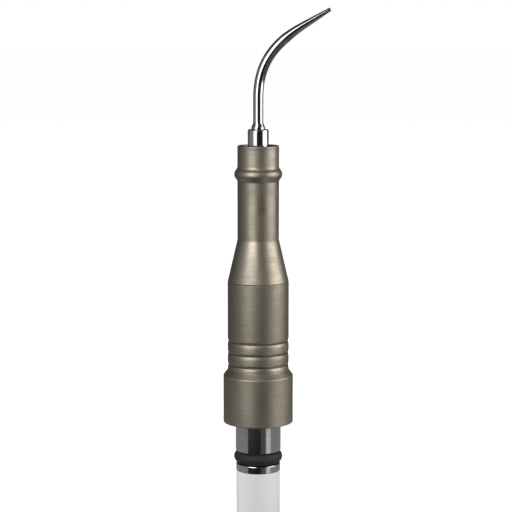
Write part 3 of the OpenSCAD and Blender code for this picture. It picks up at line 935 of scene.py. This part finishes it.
@dataclass
class Casing:
    """The two turned sleeves of champagne metal, their grooves, bevel and bead.

    Attributes:
        cone_h: Height of the cone above the joint of the two sleeves.
        flange_h: Height of the rear flange.
        bevel_h: Height of the bevel above it.
        neck_r: Radius of the neck.
        grip_r: Radius of the grip.
        bead_r: Radius over the bead.
        bead_drop: Distance from the rim down to the middle of the bead.
        bead_bend: Radius of the bead's round face.
        bead_fillet: Radius where the bead runs into the neck.
        rim_line: Depth and half height of the fine line turned below the rim.
        rim_line_drop: Distance from the rim down to that line.
        nose_bore_r: Radius of the opening in the nose.
        nose_inlet_r: Radius of the wider bore behind it.
        nose_thread_r: Radius of the front sleeve's thread.
        nose_groove_depth: Depth of the seal groove in that thread.
        nose_groove: How far below the joint that groove starts and ends.
        nose_bore_lift: Distance from the joint up to the narrow bore.
        thread_play: Room round the front sleeve's thread.
        seat_step: How much narrower the bore below that thread is.
        rear_thread_r: Radius of the rear sleeve's inner thread.
        rear_thread_h: Height of that thread.
        chamber_r: Radius of the bore round the transducer.
        ledge_bore_r: Radius inside the ledge that carries the rear damper.
        ledge_lip_h: Thickness of that ledge.
        slot_w: Width of the two wire slots in the ledge.
        groove_count: Number of grip grooves.
        groove_pitch: Distance between grooves.
        groove_start: Distance from the bevel to the first groove.
        groove_half_h: Half of a groove's height at its mouth.
        shoulder_bend: Radius of the round shoulders that meet in a groove.
        land_fall: Height over which the top of a land falls off towards its groove.
        land_bend: Radius of that fall.
        slit: Half width and depth of the fine cut at the bottom of a groove.
    """

    cone_h: float = 9.7
    flange_h: float = 11.0
    bevel_h: float = 1.3
    neck_r: float = 4.725
    grip_r: float = 7.0
    bead_r: float = 5.45
    bead_drop: float = 6.5
    bead_bend: float = 1.5
    bead_fillet: float = 1.2
    rim_line: float = 0.04
    rim_line_drop: float = 0.55
    nose_bore_r: float = 4.25
    nose_inlet_r: float = 4.6
    nose_thread_r: float = 5.95
    nose_groove_depth: float = 0.6
    nose_groove: tuple[float, float] = (1.3, 0.3)
    nose_bore_lift: float = 5.3
    thread_play: float = 0.05
    seat_step: float = 0.4
    rear_thread_r: float = 6.5
    rear_thread_h: float = 6.0
    chamber_r: float = 5.4
    ledge_bore_r: float = 4.75
    ledge_lip_h: float = 1.2
    slot_w: float = 1.6
    groove_count: int = 3
    groove_pitch: float = 2.7
    groove_start: float = 1.4
    groove_half_h: float = 0.45
    shoulder_bend: float = 0.5
    land_fall: float = 0.75
    land_bend: float = 4.0
    slit: float = 0.07

    def build(self, paints: Paintbox) -> None:
        """Builds and dresses both sleeves.

        Args:
            paints: The finishes.
        """
        stand_in(turned(self.nose_outline()), "nose_sleeve", "handpiece", "casing_metal", paints)
        stand_in(self.grip_mesh(), "grip_sleeve", "handpiece", "casing_metal", paints)

    def nose_outline(self) -> Outline:
        """Draws the front sleeve: thread, cone, neck, bead, rim and bore.

        Returns:
            The outline in millimetres.
        """
        foot, rim = foot_of("nose_sleeve"), top_of("nose_sleeve")
        joint = top_of("grip_sleeve")
        neck_z = joint + self.cone_h
        thread_r = self.nose_thread_r
        seal_r = thread_r - self.nose_groove_depth
        low, high = (joint - drop for drop in self.nose_groove)
        line = Outline()
        line.to(self.nose_inlet_r, foot, 0.2).to(thread_r, foot, 0.25)
        line.to(thread_r, low, 0.08).to(seal_r, low, 0.1)
        line.to(seal_r, high, 0.1).to(thread_r, high, 0.08)
        line.to(thread_r, joint, 0.05).to(self.grip_r, joint, 0.18)
        line.to(self.neck_r, neck_z, 0.5)
        self._add_bead(line, rim - self.bead_drop)
        for step, cut_in in ((-1, 0), (0, self.rim_line), (1, 0)):
            line.to(self.neck_r - cut_in, rim - self.rim_line_drop + step * self.rim_line)
        line.to(self.neck_r, rim, 0.3)
        line.to(self.nose_bore_r, rim, 0.12)
        line.to(self.nose_bore_r, joint + self.nose_bore_lift, 0.3)
        line.to(self.nose_inlet_r, joint, 0.3)
        return line

    def _add_bead(self, line: Outline, bead_z: float) -> None:
        """Adds the round bead and its two small fillets to the neck's outline.

        Args:
            line: The outline that gets it.
            bead_z: Level of the bead's middle.
        """
        centre_r = self.bead_r - self.bead_bend
        fillet_r = self.neck_r + self.bead_fillet
        reach = self.bead_bend + self.bead_fillet
        swing = math.degrees(math.acos((fillet_r - centre_r) / reach))
        drop = reach * math.sin(math.radians(swing))
        line.arc(fillet_r, bead_z - drop, self.bead_fillet, 180, 180 - swing)
        line.arc(centre_r, bead_z, self.bead_bend, -swing, swing, 18)
        line.arc(fillet_r, bead_z + drop, self.bead_fillet, 180 + swing, 180)

    def grip_mesh(self) -> BMesh:
        """Builds the rear sleeve with its grooves and the two slots in its inner ledge.

        Returns:
            The mesh in metres.
        """
        foot, top = foot_of("grip_sleeve"), top_of("grip_sleeve")
        flange_r = radius_of("grip_sleeve")
        bevel_z = foot + self.flange_h
        grip_z = bevel_z + self.bevel_h
        thread_z, thread_top = foot_of("nose_sleeve"), foot + self.rear_thread_h
        ledge_z = foot_of("rear_damper")
        lip_z = ledge_z - self.ledge_lip_h
        socket_r = self.nose_thread_r + self.thread_play
        seat_r = socket_r - self.seat_step
        line = Outline()
        line.to(self.rear_thread_r, foot, 0.15).to(flange_r, foot, 0.25)
        line.to(flange_r, bevel_z, 0.3).to(self.grip_r, grip_z, 1.6)
        for i in range(self.groove_count):
            self._add_groove(line, grip_z + self.groove_start + i * self.groove_pitch)
        line.to(self.grip_r, top, 0.1).to(socket_r, top, 0.12)
        line.to(socket_r, thread_z, 0.1).to(seat_r, thread_z, 0.1)
        line.to(seat_r, ledge_z, 0.1).to(self.ledge_bore_r, ledge_z, 0.12)
        line.to(self.ledge_bore_r, lip_z, 0.12).to(self.chamber_r, lip_z, 0.1)
        line.to(self.chamber_r, thread_top, 0.1).to(self.rear_thread_r, thread_top, 0.1)
        reach = 2 * self.chamber_r - 0.1
        middle = (ledge_z + lip_z) / 2
        slots = block((reach, self.slot_w, self.ledge_lip_h + 0.02), (0, 0, middle))
        return cut(turned(line), [slots])

    def _add_groove(self, line: Outline, groove_z: float) -> None:
        """Adds one groove: a land that falls off slightly, a shoulder, a fine slit, a shoulder.

        Args:
            line: The outline that gets it.
            groove_z: Level of the middle of the groove.
        """
        bend, mouth = self.shoulder_bend, groove_z - self.groove_half_h
        fall = math.asin(self.land_fall / self.land_bend)
        land_r = self.grip_r - self.land_bend
        line.arc(land_r, mouth - self.land_fall, self.land_bend, 0, math.degrees(fall), 5)
        centre_r = land_r + (self.land_bend - bend) * math.cos(fall)
        centre_z = mouth - bend * math.sin(fall)
        swing = math.degrees(math.asin((groove_z - self.slit - centre_z) / bend))
        line.arc(centre_r, centre_z, bend, math.degrees(fall), swing, 7)
        swing = math.degrees(math.asin((self.groove_half_h - self.slit) / bend))
        centre_r = self.grip_r - bend
        floor = centre_r + bend * math.cos(math.radians(swing)) - 2 * self.slit
        line.to(floor, groove_z)
        line.arc(centre_r, groove_z + self.groove_half_h, bend, -swing, 0, 7)


# ---- rear plug ----


@dataclass
class RearPlug:
    """The polished spigot with its groove, land and seal ring.

    Attributes:
        land_r: Radius of the end land.
        land_h: Height of the end land.
        spigot_r: Radius of the spigot.
        groove_h: Height of the seal groove.
        groove_depth: Depth of the seal groove below the land.
        bore_r: Radius of the bore that the insulator's neck fills.
        inner_r: Radius of the wider bore round the insulator's nut.
        cavity_r: Radius of the opening in the head.
        head_lift: Distance from the flange's foot up to the head.
        cavity_lift: Distance from the head's foot up to that opening.
        inner_lift: Distance from the head's foot up to the wider bore.
        ring_depth: Depth of the head's groove for its seal ring.
        ring_span: How far below the head's top that groove starts and ends.
        hole_r: Radius of the spanner holes and of the key's hole.
        hole_x: Distance of the spanner holes from the axis.
        hole_span: Where a spanner hole starts and ends, from the head's foot.
        key_span: Where the key's hole starts and ends, from the land's foot.
        shoulder: How far the spigot stands out close to the flange.
        shoulder_h: Height of that shoulder below the flange.
        mould_line: Height of the fine line that the mould leaves round the seal.
    """

    land_r: float = 5.075
    land_h: float = 1.8
    spigot_r: float = 5.2
    groove_h: float = 2.95
    groove_depth: float = 0.8
    bore_r: float = 3.6
    inner_r: float = 4.4
    cavity_r: float = 5.0
    head_lift: float = 0.6
    cavity_lift: float = 1.0
    inner_lift: float = 0.4
    ring_depth: float = 0.85
    ring_span: tuple[float, float] = (1.1, 0.1)
    hole_r: float = 0.4
    hole_x: float = 5.85
    hole_span: tuple[float, float] = (-1.0, 1.2)
    key_span: tuple[float, float] = (-0.5, 1.4)
    shoulder: float = 0.08
    shoulder_h: float = 0.7
    mould_line: float = 0.035

    def build(self, paints: Paintbox) -> None:
        """Builds and dresses the plug and its seal.

        Args:
            paints: The finishes.
        """
        stand_in(self.plug_mesh(), "plug_body", "handpiece", "polished_steel", paints)
        stand_in(turned(self.seal_outline()), "plug_seal", "handpiece", "black_rubber", paints)

    def plug_mesh(self) -> BMesh:
        """Builds the plug with its spanner holes and key slot.

        Returns:
            The mesh in metres.
        """
        land_z, head_top = foot_of("plug_body"), top_of("plug_body")
        flange_z = foot_of("grip_sleeve")
        seal_z = land_z + self.land_h
        spigot_z = seal_z + self.groove_h
        step_z = flange_z - self.shoulder_h
        head_z = flange_z + self.head_lift
        floor_r, head_r = self.land_r - self.groove_depth, radius_of("plug_body")
        ring_r = head_r - self.ring_depth
        ring_low, ring_high = (head_top - drop for drop in self.ring_span)
        nut_z = foot_of("insulator_nut")
        line = Outline()
        line.to(self.bore_r, land_z, 0.1).to(self.land_r, land_z, 0.15)
        line.to(self.land_r, seal_z, 0.25)
        line.to(floor_r, seal_z, 0.15).to(floor_r, spigot_z, 0.15)
        line.to(self.spigot_r, spigot_z, 0.2).to(self.spigot_r, step_z, 0.03)
        line.to(self.spigot_r + self.shoulder, step_z + self.shoulder, 0.03)
        line.to(self.spigot_r + self.shoulder, head_z, 0.1).to(head_r, head_z, 0.2)
        line.to(head_r, ring_low, 0.05).to(ring_r, ring_low, 0.1)
        line.to(ring_r, ring_high, 0.06).to(head_r, ring_high).to(head_r, head_top)
        line.to(self.cavity_r, head_top, 0.15)
        line.to(self.cavity_r, head_z + self.cavity_lift, 0.2)
        line.to(self.inner_r, head_z + self.inner_lift, 0.2)
        line.to(self.inner_r, nut_z, 0.1).to(self.bore_r, nut_z, 0.1)
        holes = [(side * self.hole_x, 0, head_z, self.hole_span) for side in (-1, 1)]
        holes.append((0, middle_y("insulator_key"), land_z, self.key_span))
        cutters = [
            rod(self.hole_r, level + span[0], level + span[1], Matrix.Translation((x, y, 0)))
            for x, y, level, span in holes
        ]
        return cut(turned(line), cutters)

    def seal_outline(self) -> Outline:
        """Draws the seal ring's round section, flat inside, with its mould line outside.

        Returns:
            The outline in millimetres.
        """
        low, high = foot_of("plug_seal"), top_of("plug_seal")
        bend, middle = (high - low) / 2, (high + low) / 2
        centre_r = radius_of("plug_seal") - bend
        floor_r = self.land_r - self.groove_depth + 0.02
        lap = math.degrees(math.acos((floor_r - centre_r) / bend))
        step = math.degrees(self.mould_line / bend)
        line = Outline()
        line.arc(centre_r, middle, bend, -lap, -step, 22)
        line.to(centre_r + bend - 0.02, middle).arc(centre_r, middle, bend, step, lap, 22)
        return line


# ---- connector ----


@dataclass
class Connector:
    """The pale insulator with its water port, contact holes, key slot and keyway.

    Attributes:
        rounding: Rounding of its outer end.
        neck_r: Radius of its neck inside the plug.
        port_r: Radius of the water port.
        port_h: Depth of the water port.
        pocket_w: How much wider the pocket of the port's seal is.
        pocket_h: Height of that pocket.
        nozzle_r: Radius of the bore that holds the nozzle.
        key_r: Radius of the key's hole.
        play: Room round each contact and below the key.
        countersink: Depth of the lead-in at each contact hole.
        keyway: Width, depth and height of the keyway in its side.
    """

    rounding: float = 0.35
    neck_r: float = 3.57
    port_r: float = 1.0
    port_h: float = 5.2
    pocket_w: float = 0.5
    pocket_h: float = 1.0
    nozzle_r: float = 0.9
    key_r: float = 0.4
    play: tuple[float, float] = (0.02, 0.05)
    countersink: float = 0.25
    keyway: Triple = (1.4, 0.6, 5.0)

    def build(self, paints: Paintbox) -> None:
        """Builds and dresses the insulator.

        Args:
            paints: The finishes.
        """
        stand_in(self.mesh(), "connector_insulator", "handpiece", "pale_insulator", paints)

    def mesh(self) -> BMesh:
        """Builds the insulator.

        Returns:
            The mesh in metres.
        """
        outer = radius_of("connector_insulator")
        land_z, top = foot_of("plug_body"), top_of("connector_insulator")
        pocket_r, pocket_top = self.port_r + self.pocket_w, self.port_h + self.pocket_h
        line = Outline()
        line.to(self.port_r, 0, 0.12).to(outer, 0, self.rounding).to(outer, land_z, 0.08)
        line.to(self.neck_r, land_z, 0.15).to(self.neck_r, top, 0.2).to(self.nozzle_r, top, 0.1)
        line.to(self.nozzle_r, pocket_top).to(pocket_r, pocket_top)
        line.to(pocket_r, self.port_h).to(self.port_r, self.port_h)
        cutters = []
        for socket in ("live_socket", "return_socket"):
            low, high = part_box(socket)
            spot = Matrix.Translation(((low.x + high.x) / 2 / MM, 0, 0))
            hole_r = (high.x - low.x) / 2 / MM + self.play[0]
            cutters.append(rod(hole_r, -1, top + 1, spot, 40))
            cutters.append(self._lead_in(hole_r, spot))
        spot = Matrix.Translation((0, middle_y("insulator_key"), 0))
        cutters.append(rod(self.key_r, foot_of("insulator_key") - self.play[1], land_z + 1, spot))
        wide, deep, high = self.keyway
        cutters.append(block((wide, 2 * deep, high + 1), (0, outer, (high - 1) / 2)))
        return cut(turned(line), cutters)

    def _lead_in(self, hole_r: float, spot: Matrix) -> BMesh:
        """Makes the cone that opens the mouth of a contact hole.

        Args:
            hole_r: Radius of the hole.
            spot: Where its axis stands.

        Returns:
            A closed cutter in metres.
        """
        bm = bmesh.new()
        sink = self.countersink
        stand = Matrix.Scale(MM, 4) @ spot
        bmesh.ops.create_cone(
            bm, cap_ends=True, segments=40, radius1=hole_r + 2 * sink, radius2=hole_r - sink,
            depth=3 * sink, matrix=stand @ Matrix.Translation((0, 0, 0.5 * sink)),
        )
        return bm


# ---- tip ----


@dataclass
class ScalerTip:
    """The screw-on tip: collar with four flats, small cone, and bent tapering wire.

    Attributes:
        collar_r: Radius of the collar.
        flat_r: Distance of its flats from the axis.
        collar_out: How far the collar stands out of the nose.
        cone_h: Height of the small cone on the collar.
        cone_foot_r: Radius of that cone where it stands on the collar.
        cone_land_h: Height of the straight land at its foot.
        wire_r: Radius of the wire.
        end_r: Radius of the blunt working end.
        taper_h: Length over which the wire tapers.
        lean: Angle of the working end from the axis, in degrees.
        bend_start: Level above the rim where the bend starts.
        bend_handles: Lengths of the bend's two handles.
        bend_reach: Where the bend ends, out from the axis and above the rim.
        blade_h: Length of the straight working end.
        end_round: Rounding of the blunt end.
        thread_r: Radius of the inner thread.
        thread_h: Height of that thread's end above the seat.
        pocket_w: How much wider the pocket below it is.
        pocket_h: Height of that pocket above the seat.
        seat_drop: Distance from the tip's foot down to the seat.
        channel_r: Radius of the water channel.
        channel_drop: Distance from the bend's start down to the channel's end.
        sides: Facets round the wire.
        steps: Rings along the bend, along the straight end and round the blunt end.
    """

    collar_r: float = 2.375
    flat_r: float = 2.3
    collar_out: float = 3.65
    cone_h: float = 1.4
    cone_foot_r: float = 1.55
    cone_land_h: float = 0.5
    wire_r: float = 1.15
    end_r: float = 0.425
    taper_h: float = 12.1
    lean: float = 59.0
    bend_start: float = 10.5
    bend_handles: tuple[float, float] = (7.0, 9.0)
    bend_reach: tuple[float, float] = (10.22, 26.95)
    blade_h: float = 6.98
    end_round: float = 0.12
    thread_r: float = 1.5
    thread_h: float = 4.6
    pocket_w: float = 0.45
    pocket_h: float = 0.75
    seat_drop: float = 0.05
    channel_r: float = 0.4
    channel_drop: float = 2.2
    sides: int = 72
    steps: tuple[int, int, int] = (72, 12, 4)

    def build(self, paints: Paintbox) -> None:
        """Builds and dresses the tip.

        Args:
            paints: The finishes.
        """
        stand_in(self.mesh(), "scaler_tip", "tip", "tip_steel", paints)

    def mesh(self) -> BMesh:
        """Builds the tip: turned base, flats, drawn-out wire, blunt end and water outlet.

        Returns:
            The mesh in metres.
        """
        rim = top_of("nose_sleeve")
        bm = turned(self.base_outline(rim, foot_of("scaler_tip")), self.sides)
        self._cut_flats(bm)
        top_rim = [
            edge for edge in bm.edges
            if edge.is_boundary and edge.verts[0].co.z > (rim + self.collar_out) * MM
        ]
        end_rim = sweep(bm, top_rim, self.stops(rim))
        bmesh.ops.edgeloop_fill(bm, edges=end_rim)
        bmesh.ops.recalc_face_normals(bm, faces=bm.faces)
        channel_top = rim + self.bend_start - self.channel_drop
        outlet = Matrix.Rotation(math.radians(45), 4, "Y")
        outlet = Matrix.Translation((0, 0, channel_top - 0.5)) @ outlet
        return cut(bm, [rod(0.3, 0.1, 4, outlet, 24)])

    def base_outline(self, rim: float, foot: float) -> Outline:
        """Draws the turned base, from the end of the water channel out to the wire's start.

        Args:
            rim: Level of the nose's rim.
            foot: Level of the tip's foot.

        Returns:
            An open outline in millimetres.
        """
        collar_top = rim + self.collar_out
        cone_top = collar_top + self.cone_h
        bend_z = rim + self.bend_start
        channel_z = bend_z - self.channel_drop
        seat = foot - self.seat_drop
        thread_z, pocket_z = seat + self.thread_h, seat + self.pocket_h
        pocket_r = self.thread_r + self.pocket_w
        line = Outline(closed=False)
        line.to(0, channel_z).to(self.channel_r, channel_z).to(self.channel_r, thread_z)
        line.to(self.thread_r, thread_z).to(self.thread_r, pocket_z).to(pocket_r, pocket_z)
        line.to(pocket_r, foot, 0.08).to(self.collar_r, foot, 0.2)
        line.to(self.collar_r, collar_top, 0.45).to(self.cone_foot_r, collar_top, 0.08)
        line.to(self.cone_foot_r, collar_top + self.cone_land_h, 0.15)
        line.to(self.wire_r, cone_top, 0.6).to(self.wire_r, bend_z)
        return line

    def _cut_flats(self, bm: BMesh) -> None:
        """Cuts the collar's four wrench flats and breaks their edges.

        Args:
            bm: The turned base, which is changed.
        """
        fresh = []
        for turn in (45, 135, 225, 315):
            way = Vector((math.cos(math.radians(turn)), math.sin(math.radians(turn)), 0))
            cut_line = bmesh.ops.bisect_plane(
                bm, geom=bm.verts[:] + bm.edges[:] + bm.faces[:], dist=1e-8,
                plane_co=way * self.flat_r * MM, plane_no=way, clear_outer=True,
            )["geom_cut"]
            edges = [item for item in cut_line if isinstance(item, BMEdge)]
            bmesh.ops.holes_fill(bm, edges=edges, sides=0)
            fresh += edges
        fresh = [edge for edge in fresh if edge.is_valid and edge.calc_length() > 0.5 * MM]
        bmesh.ops.bevel(
            bm, geom=fresh, offset=0.03 * MM, offset_type="OFFSET", segments=2, profile=0.5,
            affect="EDGES", material=-1,
        )

    def wire_radius(self, left: float) -> float:
        """Works the wire's radius out.

        Args:
            left: Distance to the working end along its direction.

        Returns:
            The radius in millimetres.
        """
        share = min(1.0, max(0.0, left) / self.taper_h)
        return self.end_r + (self.wire_r - self.end_r) * share

    def stops(self, rim: float) -> list[Matrix]:
        """Works out where the wire's rings stand along the bend and the working end.

        Args:
            rim: Level of the nose's rim.

        Returns:
            Placing matrices in metres, for a ring that has the wire's full radius.
        """
        way = Vector((math.sin(math.radians(self.lean)), 0, math.cos(math.radians(self.lean))))
        start = Vector((0, 0, rim + self.bend_start))
        end = Vector((self.bend_reach[0], 0, rim + self.bend_reach[1]))
        first, second = self.bend_handles
        handles = (start, start + Vector((0, 0, first)), end - way * second, end)
        tip = end + way * self.blade_h
        legs = [b - a for a, b in zip(handles, handles[1:])]
        bend_steps, blade_steps, end_steps = self.steps
        found = []
        for i in range(bend_steps + 1):
            t, s = i / bend_steps, 1 - i / bend_steps
            spot = sum(
                (p * k for p, k in zip(handles, (s**3, 3 * t * s * s, 3 * t * t * s, t**3))),
                Vector(),
            )
            course = legs[0] * s * s + legs[1] * 2 * t * s + legs[2] * t * t
            found.append((spot, course.normalized(), self.wire_radius((tip - spot).dot(way))))
        for i in range(1, blade_steps + 1):
            spot = end + way * ((self.blade_h - self.end_round) * i / blade_steps)
            found.append((spot, way, self.wire_radius((tip - spot).dot(way))))
        for i in range(1, end_steps + 1):
            turn = math.radians(90 * i / end_steps)
            spot = tip - way * self.end_round * (1 - math.sin(turn))
            found.append((spot, way, self.end_r - self.end_round * (1 - math.cos(turn))))
        return [self._stop(*one) for one in found]

    def _stop(self, spot: Vector, course: Vector, radius: float) -> Matrix:
        """Places a ring across the wire.

        Args:
            spot: Its middle in millimetres.
            course: The wire's direction there.
            radius: The wire's radius there.

        Returns:
            The placing matrix in metres.
        """
        lean = Matrix.Rotation(math.atan2(course.x, course.z), 4, "Y")
        size = Matrix.Scale(radius / self.wire_r, 4)
        return Matrix.Translation(spot * MM) @ lean @ size


# ---- transducer and other inner pieces ----


class InnerParts:
    """Everything that the casing hides, which keeps its CAD shape and gets its finish."""

    def dress(self, paints: Paintbox) -> None:
        """Gives every shown CAD node the finish of its slot.

        Args:
            paints: The finishes.
        """
        slots = {part["node"]: part["material_slot"] for part in frame["record"]["subparts"]}
        for name, node in frame["nodes"].items():
            if not node.hide_render:
                paints.dress(node, slots[name])
                log.info("%s keeps its shape, %s", name, slots[name])


# ---- studio ----


@dataclass(frozen=True)
class Panel:
    """A soft light panel that stands round the object, facing its axis.

    Attributes:
        name: Its name.
        bearing: Angle from the camera's side, positive to the camera's right, in degrees.
        spread: Angle that it fills, in degrees.
        foot: Level of its lower edge in metres.
        top: Level of its upper edge in metres.
        glow: Radiance.
        distance: Distance from the axis in metres.
        colour: Its colour.
        mirrored: Whether it shows in reflections.
    """

    name: str
    bearing: float
    spread: float
    foot: float
    top: float
    glow: float
    distance: float = 0.5
    colour: Triple = (1.0, 1.0, 1.0)
    mirrored: bool = True

    def build(self) -> None:
        """Adds the panel as an area light that the camera doesn't see."""
        wide = 2 * self.distance * math.tan(math.radians(self.spread / 2))
        tall = self.top - self.foot
        lamp = bpy.data.lights.new(self.name, "AREA")
        lamp.shape = "RECTANGLE"
        lamp.size = wide
        lamp.size_y = tall
        lamp.energy = self.glow * math.pi * wide * tall
        lamp.color = self.colour
        stand = bpy.data.objects.new(self.name, lamp)
        turn = math.radians(self.bearing)
        stand.location = (
            self.distance * math.sin(turn), -self.distance * math.cos(turn),
            (self.foot + self.top) / 2,
        )
        stand.rotation_euler = (math.radians(90), 0, turn)
        stand.visible_camera = False
        stand.visible_glossy = self.mirrored
        bpy.context.scene.collection.objects.link(stand)


@dataclass(frozen=True)
class Card:
    """A curved card round the object that only reflections and soft light see.

    Attributes:
        name: Its name.
        start: Bearing of its first edge from the camera's side, positive to the right.
        end: Bearing of its other edge.
        near: Distance from the axis and level of its near or lower edge, in metres.
        far: Distance and level of its far or upper edge.
        glow: Radiance.
    """

    name: str
    start: float
    end: float
    near: tuple[float, float]
    far: tuple[float, float]
    glow: float

    def build(self) -> None:
        """Spins the card's section round the axis and makes it glow."""
        bm = bmesh.new()
        ends = [bm.verts.new((0, -away, level)) for away, level in (self.near, self.far)]
        edge = bm.edges.new(ends)
        bmesh.ops.rotate(bm, verts=ends, matrix=Matrix.Rotation(math.radians(self.start), 3, "Z"))
        bmesh.ops.spin(
            bm, geom=[*ends, edge], cent=(0, 0, 0), axis=(0, 0, 1), dvec=(0, 0, 0),
            angle=math.radians(self.end - self.start), steps=24,
        )
        card = new_object(self.name, bm)
        card.visible_camera = False
        tree = bare_material(self.name, card)
        glow = put(tree, "Emission", {"Color": WHITE, "Strength": self.glow})
        put(tree, "OutputMaterial", {"Surface": glow.outputs[0]})


@dataclass
class Studio:
    """White background, pale floor, soft panels, the cards round the object, and the camera.

    Attributes:
        camera_spot: Camera's place in metres.
        camera_dip: How far it looks down, in degrees.
        view_angle: Its angle of view, in degrees.
        gloom: Dim colour that polished surfaces see where no panel stands.
        floor_r: Radius of the floor in metres.
        floor_paint: The floor's colour to the camera.
        floor_fill: Glow that lifts that colour to white.
        floor_glow: Grey that polished surfaces see in the floor.
        panels: The light panels.
        cards: The cards.
    """

    camera_spot: Triple = (-0.0005, -0.400, 0.11645)
    camera_dip: float = 7.7
    view_angle: float = 16.46
    gloom: Triple = (0.066, 0.074, 0.062)
    floor_r: float = 6.0
    floor_paint: Triple = (0.8, 0.8, 0.8)
    floor_fill: float = 0.93
    floor_glow: float = 0.10
    panels: tuple[Panel, ...] = (
        Panel("left_low_panel", -35, 34, 0.0, 0.16, 2.4),
        Panel("left_high_panel", -32, 40, 0.16, 0.62, 3.5),
        Panel("left_fill", -78, 48, 0.0, 0.42, 0.20, distance=0.52),
        Panel("right_low_panel", 77, 46, 0.0, 0.12, 2.6, colour=(1.0, 0.96, 0.94)),
        Panel("right_high_panel", 77, 46, 0.12, 0.42, 3.2, colour=(1.0, 0.96, 0.94)),
        Panel("front_soft", 0, 100, 0.0, 0.42, 0.7, distance=0.46, mirrored=False),
        Panel("left_soft", -80, 50, 0.0, 0.42, 1.4, distance=0.46, mirrored=False),
        Panel("right_soft", 80, 50, 0.0, 0.42, 1.4, distance=0.46, mirrored=False),
    )
    cards: tuple[Card, ...] = (
        Card("front_card", -10, 42, (0.45, 0.0), (0.45, 0.42), 0.02),
        Card("dark_floor_card", -52, 14, (0.02, 0.001), (0.11, 0.001), 0.012),
        Card("grey_floor_card", 14, 40, (0.02, 0.001), (0.11, 0.001), 0.09),
        Card("bright_floor_card", 40, 64, (0.02, 0.001), (0.11, 0.001), 0.75),
        Card("side_floor_card", 64, 308, (0.02, 0.001), (0.11, 0.001), 0.28),
    )

    def build(self) -> None:
        """Sets the whole studio up."""
        self.set_camera()
        self.set_world()
        self.set_floor()
        for light in (*self.panels, *self.cards):
            light.build()
        bpy.context.scene.view_settings.view_transform = "Standard"

    def set_camera(self) -> None:
        """Places the camera and makes it the scene's own."""
        lens = bpy.data.cameras.new("camera")
        lens.sensor_width = 36
        lens.angle = math.radians(self.view_angle)
        lens.clip_start = 0.01
        stand = bpy.data.objects.new("camera", lens)
        stand.location = self.camera_spot
        stand.rotation_euler = (math.radians(90 - self.camera_dip), 0, 0)
        bpy.context.scene.collection.objects.link(stand)
        bpy.context.scene.camera = stand

    def set_world(self) -> None:
        """Makes the background white to the camera and dim to everything else."""
        world = bpy.data.worlds.new("studio")
        world.use_nodes = True
        tree = world.node_tree
        tree.nodes.clear()
        seen = put(tree, "LightPath").outputs["Is Camera Ray"]
        dim = put(tree, "Background", {"Color": rgba(self.gloom), "Strength": 1.0})
        white = put(tree, "Background", {"Color": WHITE, "Strength": 1.0})
        mix = put(tree, "MixShader", {0: seen, 1: dim.outputs[0], 2: white.outputs[0]})
        put(tree, "OutputWorld", {"Surface": mix.outputs[0]})
        bpy.context.scene.world = world

    def set_floor(self) -> None:
        """Lays the pale floor, which polished surfaces see as a dim one."""
        bm = bmesh.new()
        bmesh.ops.create_circle(bm, cap_ends=True, radius=self.floor_r, segments=64)
        floor = new_object("floor", bm)
        tree = bare_material("pale_floor", floor)
        seen = put(tree, "LightPath").outputs["Is Camera Ray"]
        paint = put(tree, "BsdfDiffuse", {"Color": rgba(self.floor_paint)})
        glow = put(tree, "Emission", {"Color": WHITE, "Strength": self.floor_fill})
        both = put(tree, "AddShader", {0: paint.outputs[0], 1: glow.outputs[0]})
        dim = put(tree, "Emission", {"Color": WHITE, "Strength": self.floor_glow})
        mix = put(tree, "MixShader", {0: seen, 1: dim.outputs[0], 2: both.outputs[0]})
        put(tree, "OutputMaterial", {"Surface": mix.outputs[0]})


def main() -> None:
    """Builds the studio and every sub-assembly, and reports each piece."""
    logging.basicConfig(level=logging.INFO, format="%(name)s: %(message)s")
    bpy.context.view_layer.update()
    paints = Paintbox()
    Studio().build()
    Casing().build(paints)
    RearPlug().build(paints)
    Connector().build(paints)
    ScalerTip().build(paints)
    InnerParts().dress(paints)


if __name__ == "__main__":
    main()
